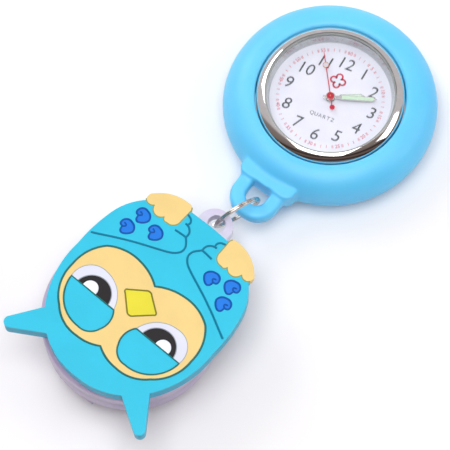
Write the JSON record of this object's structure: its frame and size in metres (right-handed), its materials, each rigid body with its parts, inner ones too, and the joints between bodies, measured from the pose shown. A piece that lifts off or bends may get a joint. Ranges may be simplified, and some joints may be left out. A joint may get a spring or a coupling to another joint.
{
  "type": "fob watch",
  "caption": "Nurse's fob watch: a round watch in a soft silicone case hangs by a split ring from a retractable cord reel with a belt clip and an owl-shaped badge.",
  "frame": {"origin": "centre of the footprint, on the surface that the watch and the belt clip lie on", "axes": "+Z up off the surface, +Y up as worn, from the watch to the badge reel, +X to the right seen from above"},
  "size_m": [0.0434, 0.101, 0.0155],
  "materials": {
    "clear_lilac_plastic": "moulded, slightly translucent, glossy",
    "white_plastic": "moulded",
    "steel": "bright",
    "foam_tape": "soft foam",
    "cord": "braided",
    "pvc_cyan": "soft PVC, satin",
    "pvc_peach": "soft PVC, satin",
    "pvc_white": "soft PVC, satin",
    "pvc_black": "soft PVC, satin",
    "pvc_yellow": "soft PVC, satin",
    "pvc_blue": "soft PVC, satin",
    "silicone": "moulded silicone, satin",
    "chrome": "polished",
    "glass": "clear",
    "gasket": "moulded",
    "dial_white": "satin lacquer",
    "brass": "turned",
    "dark_plastic": "moulded",
    "copper": "wound enamelled wire",
    "board": "laminate",
    "hand_silver": "polished frame, lume fill",
    "hand_red": "lacquered"
  },
  "bodies": {
    "reel": {"back_shell": "clear_lilac_plastic", "front_shell": "clear_lilac_plastic", "shell_screw": "steel", "adhesive_pad": "foam_tape", "power_spring": "steel", "cord_tail": "cord", "clip_pin": "steel", "clip_spring": "steel", "owl_body": "pvc_cyan", "owl_face": "pvc_peach", "owl_eyelids": "pvc_cyan", "owl_eye_whites": "pvc_white", "owl_pupils": "pvc_black", "owl_highlights": "pvc_white", "owl_beak": "pvc_yellow", "owl_feet": "pvc_peach", "owl_petals": "pvc_blue"},
    "clip": {"belt_clip": "clear_lilac_plastic"},
    "spool": {"spool": "white_plastic", "wound_cord": "cord"},
    "pull_end": {"cord_lug": "clear_lilac_plastic", "cord_end": "cord"},
    "ring": {"split_ring": "steel"},
    "watch": {"silicone_case": "silicone", "watch_case": "chrome", "bezel": "chrome", "glass": "glass", "glass_gasket": "gasket", "rehaut": "chrome", "dial": "dial_white", "movement_holder": "white_plastic", "case_back": "steel", "case_gasket": "gasket", "main_plate": "brass", "train_bridge": "brass", "stator": "steel", "coil_core": "steel", "coil": "copper", "circuit_board": "board", "quartz_crystal": "steel", "chip": "dark_plastic", "battery": "steel", "battery_clamp": "steel"},
    "seconds": {"second_hand": "hand_red", "fourth_wheel": "brass"},
    "minutes": {"minute_hand": "hand_silver", "centre_wheel": "brass"},
    "hours": {"hour_hand": "hand_silver", "hour_wheel": "brass"},
    "third": {"third_wheel": "brass"},
    "fifth": {"fifth_wheel": "dark_plastic"},
    "rotor": {"rotor": "dark_plastic"},
    "minute_works": {"minute_wheel": "brass"},
    "pull_piece": {"setting_lever": "steel"},
    "crown": {"crown": "chrome", "stem": "steel"}
  },
  "joints": [
    {"name": "clip_pivot", "type": "hinge", "parent": "reel", "child": "clip", "pos_m": [-0.0006, 0.04036, 0.0029], "axis": [1, 0, 0], "range_deg": [0, 7], "stiffness_Nm_per_rad": 0.1, "springref_deg": -0.69, "deforming": ["clip_spring"]},
    {"name": "cord_pull", "type": "slide", "parent": "reel", "child": "pull_end", "axis": [0, -1, 0], "range_m": [0, 0.6], "stiffness_N_per_m": 1, "springref_m": -0.6, "deforming": ["cord_tail"]},
    {"name": "spool_turn", "type": "hinge", "parent": "reel", "child": "spool", "pos_m": [-0.0006, 0.03236, 0.0084], "axis": [0, 0, -1], "range_deg": [0, 2790], "deforming": ["power_spring"]},
    {"name": "ring_swing", "type": "hinge", "parent": "pull_end", "child": "ring", "pos_m": [-0.00046, 0.00407, 0.0084], "axis": [1, 0, 0], "range_deg": [-60, 40]},
    {"name": "watch_swing", "type": "hinge", "parent": "ring", "child": "watch", "pos_m": [-0.00221, -0.00026, 0.0063], "axis": [0.9971, 0.0767, 0], "range_deg": [-60, 80]},
    {"name": "second_hand_turn", "type": "hinge", "parent": "watch", "child": "seconds", "pos_m": [0, -0.02897, 0.0096], "axis": [0, 0, -1], "continuous": true},
    {"name": "minute_hand_turn", "type": "hinge", "parent": "watch", "child": "minutes", "pos_m": [0, -0.02897, 0.0092], "axis": [0, 0, -1], "continuous": true},
    {"name": "hour_hand_turn", "type": "hinge", "parent": "watch", "child": "hours", "pos_m": [0, -0.02897, 0.0089], "axis": [0, 0, -1], "continuous": true},
    {"name": "third_wheel_turn", "type": "hinge", "parent": "watch", "child": "third", "pos_m": [0.00351, -0.02975, 0.0048], "axis": [0, 0, -1], "continuous": true},
    {"name": "fifth_wheel_turn", "type": "hinge", "parent": "watch", "child": "fifth", "pos_m": [-0.00075, -0.03237, 0.0052], "axis": [0, 0, -1], "continuous": true},
    {"name": "rotor_turn", "type": "hinge", "parent": "watch", "child": "rotor", "pos_m": [-0.00275, -0.0339, 0.0044], "axis": [0, 0, -1], "continuous": true},
    {"name": "minute_wheel_turn", "type": "hinge", "parent": "watch", "child": "minute_works", "pos_m": [-0.00238, -0.02972, 0.0073], "axis": [0, 0, -1], "continuous": true},
    {"name": "crown_pull", "type": "slide", "parent": "watch", "child": "pull_piece", "axis": [-0.9537, -0.3007, 0], "range_m": [0, 0.0008]},
    {"name": "crown_turn", "type": "hinge", "parent": "pull_piece", "child": "crown", "pos_m": [-0.01621, -0.03408, 0.0052], "axis": [-0.9537, -0.3007, 0], "continuous": true}
  ],
  "couplings": [
    {"joint": "spool_turn", "follows": "cord_pull", "rad_per_m": 80.645},
    {"joint": "minute_hand_turn", "follows": "second_hand_turn", "ratio": 0.016667},
    {"joint": "hour_hand_turn", "follows": "second_hand_turn", "ratio": 0.0013889},
    {"joint": "third_wheel_turn", "follows": "second_hand_turn", "ratio": -0.13333},
    {"joint": "fifth_wheel_turn", "follows": "second_hand_turn", "ratio": -5},
    {"joint": "rotor_turn", "follows": "second_hand_turn", "ratio": 30},
    {"joint": "minute_wheel_turn", "follows": "second_hand_turn", "ratio": -0.0055556}
  ]
}
